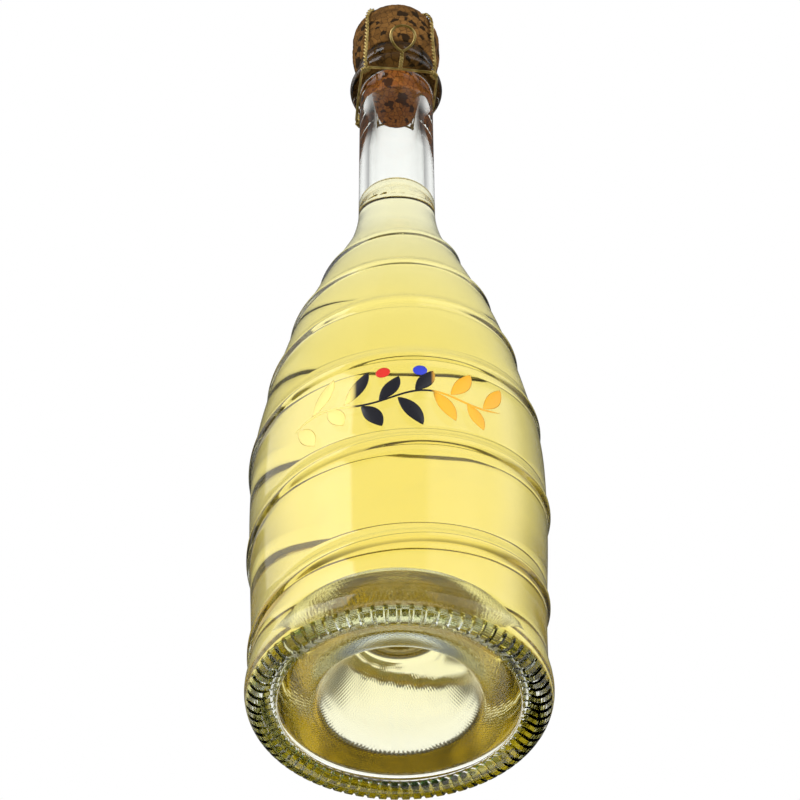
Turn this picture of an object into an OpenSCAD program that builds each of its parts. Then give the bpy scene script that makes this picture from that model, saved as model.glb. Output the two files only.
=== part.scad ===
/* [Glass] */
// Height of the glass from the table to the mouth
glass_h = 303; // [295:0.5:315]
// Diameter at the belly, the widest round of the wall
belly_d = 91.2; // [88:0.1:96]
// Height of the belly above the table
belly_z = 80; // [65:1:95]
// Diameter of the narrow waist between the foot moulding and the belly
heel_d = 86.4; // [84:0.1:88]
// Height of that waist
heel_z = 16; // [14:0.5:20]
// Diameter of the foot moulding
foot_d = 89; // [88.4:0.1:92]
// Height of the widest line of the foot moulding
foot_z = 6.4; // [5:0.1:8]
// Diameter of the neck
neck_d = 26.6; // [25.5:0.1:28]
// Height at which the shoulder has become the neck
neck_z = 219; // [210:1:228]
// Thickness of the body wall
wall_t = 3.2; // [2.8:0.1:4]
// Diameter of the bore that the cork fills
bore_d = 17.9; // [17.5:0.1:18.5]
// Depth of the parallel bore below the mouth
bore_h = 27; // [25:0.5:30]
// Diameter of the neck's inside below the bore
throat_d = 19.6; // [19:0.1:21]

/* [Punt and foot] */
// Width of the foot, from the rim of the hollow under the base out to the waist
rim_w = 9.4; // [9.2:0.1:12]
// Height of the rim of the hollow above the table
punt_rim_z = 2.2; // [1.8:0.1:3]
// Radius of the fillet inside that rim
rim_fillet = 0.8; // [0.4:0.1:1.2]
// Diameter of the knee, where the side of the hollow turns from nearly level to steep
knee_d = 47.2; // [44:0.2:50]
// Height of the knee above the table
knee_z = 5; // [4:0.1:7]
// How softly the knee is rounded
knee_ease = 1.2; // [0.6:0.1:2]
// Height of the whole hollow above the table, with its recess
punt_h = 30.8; // [26:0.2:34]
// Diameter of the small round recess at the top of the hollow
recess_d = 27; // [22:0.5:30]
// Depth of that recess
recess_h = 4.4; // [3:0.1:6]
// Thickness of the glass over the hollow
base_t = 5.2; // [4.4:0.1:7]
// Outer diameter of the flat ring that the bottle stands on
bearing_outer_d = 79.6; // [79:0.2:81]
// Width of that ring
bearing_w = 2; // [1.4:0.1:3]
// Number of grip notches round the foot
notch_count = 76; // [60:1:90]
// Width of a notch
notch_w = 1; // [0.6:0.1:1.4]
// Depth of a notch below the rounded edge of the foot
notch_depth = 0.7; // [0.4:0.1:1]

/* [Wound ridge] */
// How far the ridge stands proud of the wall
ridge_h = 1.2; // [0.8:0.1:2]
// Width of the ridge
ridge_w = 5.4; // [4:0.1:7]
// Height of the ridge where it first passes the front
ridge_z = 28.3; // [26:0.1:34]
// Rise of each turn on the body
ridge_pitch = 36.6; // [34:0.1:38]
// Rise of each turn on the shoulder
ridge_pitch_top = 25.4; // [23:0.1:28]

/* [Finish of the mouth] */
// Diameter of the collar that holds the wire hood
collar_d = 33.8; // [33:0.1:36]
// Height of the collar from its lower to its upper edge
collar_h = 6.6; // [5.5:0.1:8]
// Distance from the mouth down to the middle of the collar
collar_drop = 13; // [12:0.1:15]
// Diameter of the lip at the mouth
lip_d = 28.4; // [27.5:0.1:30]
// Height of the lip
lip_h = 6.4; // [5:0.1:7]
// Radius of the lip's rounded top edge
lip_round = 1.6; // [1:0.1:2]

/* [Wine] */
// Height of the wine above the top of the shoulder
wine_rise = 7; // [2:0.5:20]

/* [Cork] */
// Running clearance between the cork and the bore, on the radius
cork_gap = 0.05; // [0.02:0.01:0.1]
// Length of the cork below the mouth, with its discs
cork_in = 24.5; // [22:0.5:26]
// Thickness of each natural cork disc at the wine end
disc_t = 5.5; // [4:0.1:7]
// Diameter of the mushroom head
head_d = 31.8; // [31:0.1:34]
// Height of the head above the mouth
head_h = 22.4; // [20:0.1:26]

/* [Wire hood] */
// Diameter of the single wire of the hood
wire_d = 1; // [0.8:0.1:1.2]
// Diameter over two wires twisted together
pair_d = 1.5; // [1.3:0.1:1.8]
// Diameter of the metal cap on the cork
cap_d = 26.6; // [25:0.1:28]
// Thickness of the metal cap
cap_t = 0.35; // [0.3:0.05:0.6]
// Height of the swell in the middle of the cap
cap_swell_h = 1.2; // [0.6:0.1:1.5]
// Air between a leg and the glass or cork that it passes
leg_gap = 0.3; // [0.2:0.05:0.6]
// Air between wires that touch or turn on each other
wire_gap = 0.05; // [0.02:0.01:0.1]
// Angle of the first leg, from the right-hand side
leg_angle = -38.6; // [-45:0.1:-30]
// Turns that each leg's end makes round the belt
wrap_turns = 3; // [2:1:4]
// Height of the belt wire below the middle of the collar
belt_drop = 5; // [4.6:0.1:6]

/* [Twist loop] */
// Length of the twisted stem
stem_l = 2.6; // [2:0.1:6]
// Width of the finger eye
eye_w = 11.2; // [10:0.1:13]
// Length of the finger eye
eye_l = 11; // [10:0.1:14]
// Place of the loop round the neck, from the front towards the right
loop_angle = 6.5; // [0:0.5:10]
// Lean of the loop away from the neck, at rest
loop_lean = 30; // [30:1:40]
// Distance of the fold from the middle of the neck
fold_r = 18.4; // [18.2:0.1:20]

/* [Hidden] */
$fn = 96;

// Colours
glass_colour = [0.86, 0.92, 0.78, 0.35];
wine_colour = [0.93, 0.87, 0.4, 0.6];
cork_colour = [0.6, 0.38, 0.22];
disc_colour = [0.72, 0.5, 0.32];
cap_colour = [0.35, 0.3, 0.2];
wire_colour = [0.85, 0.66, 0.22];

// Steps of curves: the points that an outline or a wire gets
corner_steps = 3;
edge_steps = 5;
curve_steps = 3;
wire_sides = 8;
ridge_steps_per_turn = 36;

// The radii that the outlines are made of
belly_r = belly_d / 2;
heel_r = heel_d / 2;
foot_r = foot_d / 2;
neck_r = neck_d / 2;
bore_r = bore_d / 2;
throat_r = throat_d / 2;
punt_r = heel_r - rim_w;
knee_r = knee_d / 2;
recess_r = recess_d / 2;
bearing_r = bearing_outer_d / 2;
collar_r = collar_d / 2;
lip_r = lip_d / 2;
wire_r = wire_d / 2;
pair_r = pair_d / 2;
strand_r = pair_r / 2;

// How far the shoulder has come in from belly to neck, at shares of its height
shoulder_rise_shares = [0, 0.15, 0.33, 0.51, 0.655, 0.77, 0.88, 1];
shoulder_in_shares = [0, 0.02, 0.155, 0.34, 0.555, 0.745, 0.925, 1];
// Edge of the ridge's section: place across its width, and height above the wall
ridge_across_shares = [-0.5, -0.33, -0.12, 0.12, 0.33, 0.5];
ridge_up_shares = [-0.6, 0.6, 0.98, 0.98, 0.6, -0.6];
// Share of the pitch that each turn keeps, from the body up to the shoulder
pitch_blend_shares = [0, 0.06, 0.45, 0.97, 1];
// Angles at which the ridge grows out of the wall and dies back into it
ridge_start = -205;
ridge_end = 1975;
ridge_fade = 80;

function lerp(a, b, t) = a + (b - a) * t;
function smooth(t) = t * t * (3 - 2 * t);
function clamp01(t) = max(0, min(1, t));
function total(v, n) = n <= 0 ? 0 : v[n - 1] + total(v, n - 1);
// A quarter or half of an ellipse, as points
function ellipse_arc(centre, size, a0, a1, n) = [
    for (i = [0:n]) let (a = lerp(a0, a1, i / n))
        [centre[0] + size[0] * cos(a), centre[1] + size[1] * sin(a)]
];
// A smooth curve through a table of shares, by cubic pieces with matched slopes
function slope_at(xs, ys, i) =
    i == 0 || i == len(xs) - 1 ? 0 : (ys[i + 1] - ys[i - 1]) / (xs[i + 1] - xs[i - 1]);
function cubic(xs, ys, i, t) =
    let (w = xs[i + 1] - xs[i], m0 = slope_at(xs, ys, i) * w, m1 = slope_at(xs, ys, i + 1) * w)
        ys[i] * (1 + 2 * t) * (1 - t) * (1 - t) + m0 * t * (1 - t) * (1 - t)
        + ys[i + 1] * t * t * (3 - 2 * t) + m1 * t * t * (t - 1);
function piece_at(xs, x, i = 0) = i >= len(xs) - 2 || x < xs[i + 1] ? i : piece_at(xs, x, i + 1);
function curve_at(xs, ys, x) =
    let (i = piece_at(xs, x)) cubic(xs, ys, i, (x - xs[i]) / (xs[i + 1] - xs[i]));

// Radius of the outside of the glass at a height, from the foot moulding to the neck
function outer_r(z) =
    z < heel_z ? lerp(foot_r, heel_r, smooth(clamp01((z - foot_z) / (heel_z - foot_z))))
    : z < belly_z ? lerp(heel_r, belly_r, smooth((z - heel_z) / (belly_z - heel_z)))
    : z < neck_z ? lerp(belly_r, neck_r,
        curve_at(shoulder_rise_shares, shoulder_in_shares, (z - belly_z) / (neck_z - belly_z)))
    : neck_r;

// Heights at which the outline of the body has a point
foot_zs = [for (i = [1:edge_steps]) lerp(foot_z, heel_z, i / edge_steps)];
body_zs = [for (i = [1:2 * edge_steps]) lerp(heel_z, belly_z, i / (2 * edge_steps))];
shoulder_zs = [
    for (i = [0:len(shoulder_rise_shares) - 2]) for (k = [1:curve_steps])
        lerp(belly_z, neck_z, lerp(shoulder_rise_shares[i], shoulder_rise_shares[i + 1], k / curve_steps))
];

// Finish of the mouth
collar_z = glass_h - collar_drop;
collar_half = collar_h / 2;
collar_fillet = 0.3 * collar_half;
collar_root = neck_r + 0.15 * wall_t;
groove_r = lip_r - 0.3 * wall_t;
lip_low = glass_h - lip_h;
lip_edge_h = 0.2 * lip_h;
collar_points = concat(
    [[neck_r, collar_z - collar_half - collar_fillet]],
    ellipse_arc([collar_root, collar_z], [collar_r - collar_root, collar_half], -90, 90, 2 * edge_steps),
    [[groove_r, lip_low - lip_edge_h], [groove_r, lip_low]]
);
lip_points = concat(
    ellipse_arc([groove_r, lip_low + lip_edge_h], [lip_r - groove_r, lip_edge_h], -90, 0, corner_steps),
    ellipse_arc([lip_r - lip_round, glass_h - lip_round], [lip_round, lip_round], 0, 90, edge_steps)
);
mouth_round = 0.5 * lip_round;
bore_points = concat(
    ellipse_arc([bore_r + mouth_round, glass_h - mouth_round],
        [mouth_round, mouth_round], 90, 180, corner_steps),
    [[bore_r, glass_h - bore_h], [throat_r, glass_h - 2 * bore_h], [throat_r, neck_z]]
);

// Inside of the body: the wall, the channel round the hollow and the glass over it
channel_outer = heel_r - wall_t;
side_inner_r = punt_r + 0.5 * base_t;
channel_w = (channel_outer - side_inner_r) / 2;
channel_z = punt_rim_z + 1.2 * base_t;
channel_h = 0.6 * base_t;
channel_points = ellipse_arc(
    [side_inner_r + channel_w, channel_z], [channel_w, -channel_h], 0, 180, 2 * edge_steps);
// Height of the hollow's side at a radius: a slow run from rim to knee and a steep one from knee
// to head, joined by the root of half their gap squared and the ease squared
function run_z(r, from, to) = lerp(from[1], to[1], (r - from[0]) / (to[0] - from[0]));
function punt_z(r, rim, knee, head) =
    let (slow = run_z(r, knee, rim), steep = run_z(r, knee, head), half_gap = (slow - steep) / 2)
        (slow + steep) / 2 + sqrt(half_gap * half_gap + knee_ease * knee_ease);
recess_floor_z = punt_h - recess_h;
inner_top_z = punt_h + base_t;
inner_knee = [knee_r + 0.5 * base_t, knee_z + 1.2 * base_t];
inner_cap_z = recess_floor_z - 0.27 * base_t;
inner_cap_points = ellipse_arc(
    [0, inner_cap_z], [recess_r + 1.1 * base_t, inner_top_z - inner_cap_z], 15, 90, edge_steps);
side_steps = 3 * edge_steps;
side_inner_points = concat(
    [for (i = [1:side_steps - 1]) let (r = lerp(side_inner_r, inner_cap_points[0][0], i / side_steps))
        [r, punt_z(r, [side_inner_r, channel_z], inner_knee, inner_cap_points[0])]],
    inner_cap_points);
function reversed(v) = [for (i = [len(v) - 1:-1:0]) v[i]];
wall_zs = reversed([for (z = concat(body_zs, shoulder_zs)) if (z < neck_z - wall_t) z]);
inside_points = concat(
    [for (z = wall_zs) [max(outer_r(z) - wall_t, throat_r), z]],
    channel_points, side_inner_points);

// Underside: the recess, the side of the hollow, its rim and the standing ring
recess_round = 0.25 * recess_h;
recess_dip = 0.2 * recess_h;
recess_points = concat(
    [[0, recess_floor_z + recess_h - recess_dip],
     [0.6 * recess_r, recess_floor_z + recess_h - 0.7 * recess_dip]],
    ellipse_arc([recess_r - 2 * recess_round, recess_floor_z + recess_h - recess_round],
        [recess_round, recess_round], 90, 0, corner_steps)
);
side_points = [
    for (i = [0:side_steps - 1]) let (r = lerp(recess_r, punt_r - rim_fillet, i / side_steps))
        [r, punt_z(r, [punt_r, punt_rim_z], [knee_r, knee_z], [recess_r, recess_floor_z])]
];
bearing_inner = bearing_r - bearing_w;
rim_side_z = punt_rim_z - rim_fillet;
rim_points = concat(
    ellipse_arc([punt_r - rim_fillet, rim_side_z], [rim_fillet, rim_fillet], 90, 20, corner_steps),
    reversed(ellipse_arc([bearing_inner, rim_side_z],
        [bearing_inner - punt_r, rim_side_z], -90, -180, edge_steps)));
foot_points = ellipse_arc([bearing_r, foot_z], [foot_r - bearing_r, foot_z], -90, 0, 2 * edge_steps);

outside_points = concat(
    recess_points, side_points, rim_points, foot_points,
    [for (z = concat(foot_zs, body_zs, shoulder_zs)) [outer_r(z), z]],
    collar_points, lip_points
);

// A tube carried along a path: rings of points set square to the path, and its faces
function unit(v) = v / norm(v);
function tangent(p, i) = unit(p[min(i + 1, len(p) - 1)] - p[max(i - 1, 0)]);
function side_of(t, up) = unit(cross(t, up));
module tube(path, r, up, sides = wire_sides) {
    n = len(path);
    points = [for (i = [0:n - 1])
        let (t = tangent(path, i), s = side_of(t, up), u = cross(s, t))
            for (k = [0:sides - 1]) let (a = 360 * k / sides) path[i] + r * (cos(a) * s + sin(a) * u)];
    skin = [for (i = [0:n - 2]) for (k = [0:sides - 1])
        let (a = i * sides + k, b = i * sides + (k + 1) % sides)
            each [[a, b, b + sides], [a, b + sides, a + sides]]];
    caps = [[for (k = [sides - 1:-1:0]) k], [for (k = [0:sides - 1]) (n - 1) * sides + k]];
    polyhedron(points = points, faces = concat(skin, caps), convexity = 10);
}
// A closed ring of tube: its last ring of points meets its first
module closed_tube(path, r, up, sides = wire_sides) {
    n = len(path);
    points = [for (i = [0:n - 1])
        let (t = unit(path[(i + 1) % n] - path[(i + n - 1) % n]), s = side_of(t, up), u = cross(s, t))
            for (k = [0:sides - 1]) let (a = 360 * k / sides) path[i] + r * (cos(a) * s + sin(a) * u)];
    skin = [for (i = [0:n - 1]) for (k = [0:sides - 1])
        let (a = i * sides + k, b = i * sides + (k + 1) % sides, j = ((i + 1) % n - i) * sides)
            each [[a, b, b + j], [a, b + j, a + j]]];
    polyhedron(points = points, faces = skin, convexity = 10);
}

// Height of the ridge at an angle from the front, counted on through all its turns
turn_steps = [for (s = pitch_blend_shares) lerp(ridge_pitch, ridge_pitch_top, s)];
turn_zs = [for (i = [0:len(turn_steps)]) ridge_z + total(turn_steps, i)];
function ridge_height(a) =
    let (t = a / 360, last = len(turn_steps))
        t < 0 ? ridge_z + t * turn_steps[0]
        : t > last ? turn_zs[last] + (t - last) * turn_steps[last - 1]
        : let (i = floor(min(t, last - 1))) lerp(turn_zs[i], turn_zs[i + 1], t - i);
function ridge_growth(a) =
    smooth(clamp01((a - ridge_start) / ridge_fade)) * smooth(clamp01((ridge_end - a) / ridge_fade));
module ridge() {
    n = round((ridge_end - ridge_start) / 360 * ridge_steps_per_turn);
    m = len(ridge_across_shares);
    points = [for (i = [0:n])
        let (a = lerp(ridge_start, ridge_end, i / n), z = ridge_height(a), g = ridge_growth(a))
            for (k = [0:m - 1])
                let (
                    zz = z + ridge_across_shares[k] * ridge_w,
                    lift = lerp(ridge_up_shares[0], ridge_up_shares[k], g) * ridge_h,
                    r = outer_r(zz) + lift
                ) [r * sin(a), -r * cos(a), zz]];
    skin = [for (i = [0:n - 1]) for (k = [0:m - 1])
        let (p = i * m + k, q = i * m + (k + 1) % m) each [[p, q, q + m], [p, q + m, p + m]]];
    caps = [[for (k = [m - 1:-1:0]) k], [for (k = [0:m - 1]) n * m + k]];
    polyhedron(points = points, faces = concat(skin, caps), convexity = 20);
}

// Grip notches across the rounded edge of the foot
notch_run = norm([foot_r - bearing_r, foot_z]);
notch_tilt_share = 0.62;
notch_tilt = notch_tilt_share * atan2(foot_z, foot_r - bearing_r);
module notches() {
    for (i = [0:notch_count - 1])
        rotate([0, 0, 360 * i / notch_count])
            translate([bearing_r, 0, 0])
                rotate([0, -notch_tilt, 0])
                    translate([0, -notch_w / 2, -notch_run])
                        cube([notch_run, notch_w, notch_run + notch_depth]);
}

module glass_bottle() {
    color(glass_colour)
        difference() {
            union() {
                rotate_extrude()
                    polygon(concat(outside_points, bore_points, inside_points));
                ridge();
            }
            notches();
        }
}

// The wine fills the inside up to its level in the neck
wine_z = neck_z + wine_rise;
module wine() {
    color(wine_colour)
        rotate_extrude()
            polygon(concat([[0, wine_z], [throat_r, wine_z], [throat_r, neck_z]], inside_points));
}

// Cork: a straight shank in the bore, and a mushroom head that sits on the lip
shank_r = bore_r - cork_gap;
shank_low = glass_h - cork_in;
head_r = head_d / 2;
head_round = 0.4 * (head_r - cap_d / 2);
head_foot_r = lip_r - 0.5 * lip_round;
head_top = glass_h + head_h;
head_low_h = 0.36 * head_h;
head_dome_h = 0.34 * head_h;
head_points = concat(
    ellipse_arc([head_foot_r, glass_h + head_low_h], [head_r - head_foot_r, head_low_h], -90, 0, edge_steps),
    ellipse_arc([cap_d / 2 - head_round, head_top - head_dome_h],
        [head_r - cap_d / 2 + head_round, head_dome_h], 0, 90, 2 * edge_steps)
);
module cork_body() {
    color(cork_colour)
        rotate_extrude()
            polygon(concat(
                [[0, shank_low + 2 * disc_t], [shank_r, shank_low + 2 * disc_t], [shank_r, glass_h]],
                head_points, [[0, head_top]]));
}

module cork_disc(level) {
    color(disc_colour)
        translate([0, 0, shank_low + level * disc_t])
            cylinder(r = shank_r, h = disc_t);
}
module cork_disc_upper() cork_disc(1);
module cork_disc_lower() cork_disc(0);

// Metal cap: a flat rim under the crown ring, and a swell in the middle
cap_r = cap_d / 2;
cap_edge_r = cap_r - head_round;
crown_r = cap_edge_r - wire_r;
cap_swell_r = crown_r - wire_r - wire_gap;
module plaque() {
    color(cap_colour)
        rotate_extrude()
            polygon(concat(
                [[0, head_top], [cap_edge_r, head_top], [cap_edge_r, head_top + cap_t]],
                ellipse_arc([0, head_top + cap_t], [cap_swell_r, cap_swell_h], 0, 90, 2 * edge_steps)
            ));
}

// Crown ring: the wire that holds the cap's edge and joins the tops of the legs
crown_z = head_top + cap_t + wire_r;
module crown_ring() {
    color(wire_colour)
        translate([0, 0, crown_z])
            rotate_extrude()
                translate([crown_r, 0])
                    circle(r = wire_r, $fn = 24);
}

// Legs: over the edge of the head, down past the lip and the collar to the belt
belt_z = collar_z - belt_drop;
leg_count = 4;
leg_start_angle = 72;
leg_r_top = cap_edge_r + strand_r + wire_gap;
leg_r_head = head_r + pair_r + leg_gap;
leg_r_collar = collar_r + pair_r + leg_gap;
leg_z_shoulder = head_top - head_dome_h;
foot_ring_r = leg_r_collar - (pair_r - strand_r);
wrap_r = wire_r + strand_r + 2 * wire_gap;
leg_foot_z = belt_z + wrap_r + strand_r + wire_gap;
function leg_path(a) = [
    for (p = concat(
        [[leg_r_top, crown_z]],
        ellipse_arc([leg_r_top, leg_z_shoulder], [leg_r_head - leg_r_top, crown_z - leg_z_shoulder],
            leg_start_angle, 0, 2 * edge_steps),
        [[leg_r_head, glass_h + head_low_h], [leg_r_collar, collar_z + collar_half],
         [leg_r_collar, collar_z], [foot_ring_r, leg_foot_z]]
    )) [p[0] * cos(a), p[0] * sin(a), p[1]]
];
module leg(i) {
    a = leg_angle + 360 / leg_count * i;
    color(wire_colour)
        tube(leg_path(a), pair_r, [-sin(a), cos(a), 0]);
}
module leg_front_left() leg(3);
module leg_front_right() leg(0);
module leg_back_right() leg(1);
module leg_back_left() leg(2);

// Feet: the end of each leg, wound round the belt
wrap_steps = 10;
wrap_pitch = 2 * strand_r + wire_gap;
wrap_l = wrap_turns * wrap_pitch;
module leg_foot(a) {
    n = wrap_turns * wrap_steps;
    path = [for (i = [0:n]) let (t = 360 * i / wrap_steps, along = (i / n - 0.5) * wrap_l)
        [foot_ring_r + wrap_r * sin(t), along, belt_z + wrap_r * cos(t)]];
    rotate([0, 0, a])
        tube(path, strand_r, [0, 1, 0], 6);
}
module leg_feet() {
    color(wire_colour)
        for (i = [0:leg_count - 1])
            leg_foot(leg_angle + 360 / leg_count * i);
}

// Belt: hugs the neck between the legs and runs out straight to each foot, with a short
// flat there. Its two ends are twisted together into the root of the loop, at the front.
belt_hug_r = neck_r + wire_r + wire_gap;
belt_flat = wrap_l / 2 + wire_r;
belt_corner_angle = atan2(belt_flat, foot_ring_r);
belt_hug_angle = belt_corner_angle + acos(belt_hug_r / norm([foot_ring_r, belt_flat]));
belt_sector = 360 / leg_count;
belt_steps = 14;
function belt_r(d) =
    d <= belt_corner_angle ? foot_ring_r / cos(d)
    : d < belt_hug_angle ? belt_hug_r / cos(belt_hug_angle - d) : belt_hug_r;
belt_path = [
    for (i = [0:leg_count - 1]) for (k = [-1:belt_steps - 1])
        let (
            d = k < 0 ? -belt_corner_angle
                : lerp(belt_corner_angle, belt_sector - belt_corner_angle, k / belt_steps),
            a = leg_angle + belt_sector * i + d, r = belt_r(min(abs(d), belt_sector - d))
        ) [r * cos(a), r * sin(a), belt_z]
];
// The ball that the stem folds on is a little fatter than its two wires
fold_ball_r = pair_r + wire_gap;
root_end = fold_r - fold_ball_r - wire_gap;
module belt() {
    color(wire_colour) {
        closed_tube(belt_path, wire_r, [0, 0, 1]);
        rotate([0, 0, loop_angle])
            translate([0, -belt_hug_r, belt_z])
                rotate([90, 0, 0])
                    twisted_pair(root_end - belt_hug_r);
    }
}

// Two wires twisted together along the height axis
twist_pitch = 1.5 * pair_d;
twist_steps = 8;
twist_r = strand_r + wire_gap / 2;
module twisted_pair(length) {
    n = ceil(length / twist_pitch * twist_steps);
    for (side = [0, 180])
        rotate([0, 0, side])
            tube([for (i = [0:n]) let (z = length * i / n, a = 360 * z / twist_pitch)
                [twist_r * cos(a), twist_r * sin(a), z]], strand_r, [1, 0, 0], 6);
}

// Twist loop: a stem that folds at the end of the root, and the finger eye above it,
// which turns about the stem
module at_fold() {
    rotate([0, 0, loop_angle])
        translate([0, -fold_r, belt_z])
            rotate([loop_lean, 0, 0])
                children();
}
module loop_stem() {
    color(wire_colour)
        at_fold() {
            sphere(r = fold_ball_r, $fn = 12);
            twisted_pair(stem_l);
        }
}
eye_steps = 40;
eye_foot = stem_l + wire_r + wire_gap;
module twist_loop() {
    color(wire_colour)
        at_fold()
            closed_tube([for (i = [0:eye_steps - 1]) let (t = 360 * i / eye_steps)
                [(eye_w - wire_d) / 2 * sin(t) * sqrt(abs(sin(t / 2))), 0,
                 eye_foot + (eye_l - wire_d) / 2 * (1 - cos(t))]], wire_r, [0, 1, 0]);
}

glass_bottle();
wine();
cork_body();
cork_disc_upper();
cork_disc_lower();
plaque();
crown_ring();
leg_front_left();
leg_front_right();
leg_back_right();
leg_back_left();
leg_feet();
belt();
loop_stem();
twist_loop();
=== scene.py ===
import math

import bmesh
import bpy
import numpy as np
from mathutils import Matrix, Vector


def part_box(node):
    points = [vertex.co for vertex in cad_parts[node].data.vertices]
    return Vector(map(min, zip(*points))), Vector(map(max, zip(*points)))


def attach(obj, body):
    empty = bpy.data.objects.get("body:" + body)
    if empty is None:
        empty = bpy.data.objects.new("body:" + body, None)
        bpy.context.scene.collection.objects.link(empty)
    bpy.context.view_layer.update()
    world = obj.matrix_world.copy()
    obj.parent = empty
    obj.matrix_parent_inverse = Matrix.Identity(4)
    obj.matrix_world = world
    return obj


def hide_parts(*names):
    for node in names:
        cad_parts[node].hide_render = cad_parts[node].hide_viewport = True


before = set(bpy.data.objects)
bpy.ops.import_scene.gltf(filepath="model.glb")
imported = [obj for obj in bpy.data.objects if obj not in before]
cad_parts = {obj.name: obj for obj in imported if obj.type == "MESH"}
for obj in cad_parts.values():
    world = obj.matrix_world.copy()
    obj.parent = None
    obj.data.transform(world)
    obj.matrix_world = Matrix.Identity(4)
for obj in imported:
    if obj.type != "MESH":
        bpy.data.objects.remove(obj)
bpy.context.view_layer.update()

# Camera. It looks up at the standing bottle from under its foot, at an angle near 46 degrees,
# through a long lens, so that the foot is the nearest and the cork the furthest thing.
MM = 0.001
CAMERA_PLACE = Vector((0.7, -561, -447.2)) * MM
CAMERA_PITCH = 45.69
CAMERA_ROLL = -0.36
CAMERA_LENS, CAMERA_SENSOR = 112.5, 36


def make_camera():
    """Turned up from level by the pitch, then rolled about its own line of sight."""
    data = bpy.data.cameras.new("camera")
    data.lens = CAMERA_LENS
    data.sensor_width = CAMERA_SENSOR
    camera = bpy.data.objects.new("camera", data)
    bpy.context.scene.collection.objects.link(camera)
    turn = Matrix.Rotation(math.radians(90 + CAMERA_PITCH), 4, "X")
    roll = Matrix.Rotation(math.radians(CAMERA_ROLL), 4, "Z")
    camera.matrix_world = Matrix.Translation(CAMERA_PLACE) @ turn @ roll
    bpy.context.scene.camera = camera


make_camera()

# Glass bottle. One piece of clear flint glass, blown in a two-part mould: a knurled standing ring,
# a deep punt with a stippled dome, a body that swells to a belly, a ridge wound round it six times,
# a long shoulder, the neck, the collar that holds the wire, and the lip.
GLASS_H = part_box("glass_bottle")[1].z / MM
FOOT_R, FOOT_Z = 44.5, 6.4
HEEL_R, HEEL_Z = 43.2, 16.0
BELLY_R, BELLY_Z = 45.6, 80.0
NECK_R, NECK_Z = 13.3, 219.0
WALL = 3.2
SHOULDER_RISE_SHARES = np.array([0, 0.15, 0.33, 0.51, 0.655, 0.77, 0.88, 1])
SHOULDER_IN_SHARES = np.array([0, 0.02, 0.155, 0.34, 0.555, 0.745, 0.925, 1])
RIDGE_H, RIDGE_HALF_W, RIDGE_BLUNTNESS = 1.0, 2.9, 1.15
RIDGE_Z, RIDGE_PITCH, RIDGE_PITCH_TOP = 28.3, 36.6, 25.4
PITCH_BLEND_SHARES = np.array([0, 0.06, 0.45, 0.97, 1])
RIDGE_START, RIDGE_END, RIDGE_FADE = -205, 1975, 80
PADS = 76
ROUND = 3 * PADS


def smooth(t):
    """Three t squared less two t cubed, with t held between 0 and 1."""
    t = np.clip(t, 0, 1)
    return t * t * (3 - 2 * t)


def cubic_through(xs, ys, slopes, x):
    """Cubic pieces through ys at xs, with the slopes given there. ys may be numbers or points."""
    i = np.clip(np.searchsorted(xs, x, side="right") - 1, 0, len(xs) - 2)
    w = xs[i + 1] - xs[i]
    t = (x - xs[i]) / w
    if ys.ndim > 1:
        w, t = w[:, None], t[:, None]
    return (
        ys[i] * (1 + 2 * t) * (1 - t) ** 2 + slopes[i] * w * t * (1 - t) ** 2
        + ys[i + 1] * t * t * (3 - 2 * t) + slopes[i + 1] * w * t * t * (t - 1)
    )


def through_shares(xs, ys, x):
    """The cubic through a table, with each slope taken from the two neighbours and level ends."""
    slopes = np.zeros(len(xs))
    slopes[1:-1] = (ys[2:] - ys[:-2]) / (xs[2:] - xs[:-2])
    return cubic_through(xs, ys, slopes, x)


def outer_r(z):
    """Radius of the wall without the ridge: foot to heel and heel to belly ease in and out,
    and the shoulder follows its table of shares in to the neck."""
    z = np.asarray(z, float)
    foot = FOOT_R + (HEEL_R - FOOT_R) * smooth((z - FOOT_Z) / (HEEL_Z - FOOT_Z))
    body = HEEL_R + (BELLY_R - HEEL_R) * smooth((z - HEEL_Z) / (BELLY_Z - HEEL_Z))
    up = np.clip((z - BELLY_Z) / (NECK_Z - BELLY_Z), 0, 1)
    inwards = through_shares(SHOULDER_RISE_SHARES, SHOULDER_IN_SHARES, up)
    shoulder = BELLY_R + (NECK_R - BELLY_R) * inwards
    return np.where(z < HEEL_Z, foot, np.where(z < BELLY_Z, body, shoulder))


def ridge_height(a):
    """Height of the ridge's middle at an angle a, in degrees from the front, counted on through
    all turns: it climbs one pitch each turn, and the pitch shrinks towards the shoulder."""
    steps = RIDGE_PITCH + (RIDGE_PITCH_TOP - RIDGE_PITCH) * PITCH_BLEND_SHARES
    zs = RIDGE_Z + np.concatenate([[0], np.cumsum(steps)])
    t = np.asarray(a, float) / 360
    i = np.clip(np.floor(t).astype(int), 0, len(steps) - 1)
    return zs[i] + (t - i) * steps[i]


def ridge_lift(a, off):
    """How far the ridge stands proud: one less the offset squared, to a power near one, which
    grows out of the wall at its start and dies back into it at its end."""
    t = np.clip(np.abs(off) / RIDGE_HALF_W, 0, 1)
    grow = smooth((a - RIDGE_START) / RIDGE_FADE) * smooth((RIDGE_END - a) / RIDGE_FADE)
    return RIDGE_H * grow * (1 - t * t) ** RIDGE_BLUNTNESS


def ring_points(a, r, z):
    """Points at angle a from the front, distance r from the axis and height z, in metres."""
    a, r, z = np.broadcast_arrays(np.radians(a), r, z)
    return np.stack([r * np.sin(a), -r * np.cos(a), z], -1) * MM


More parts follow.
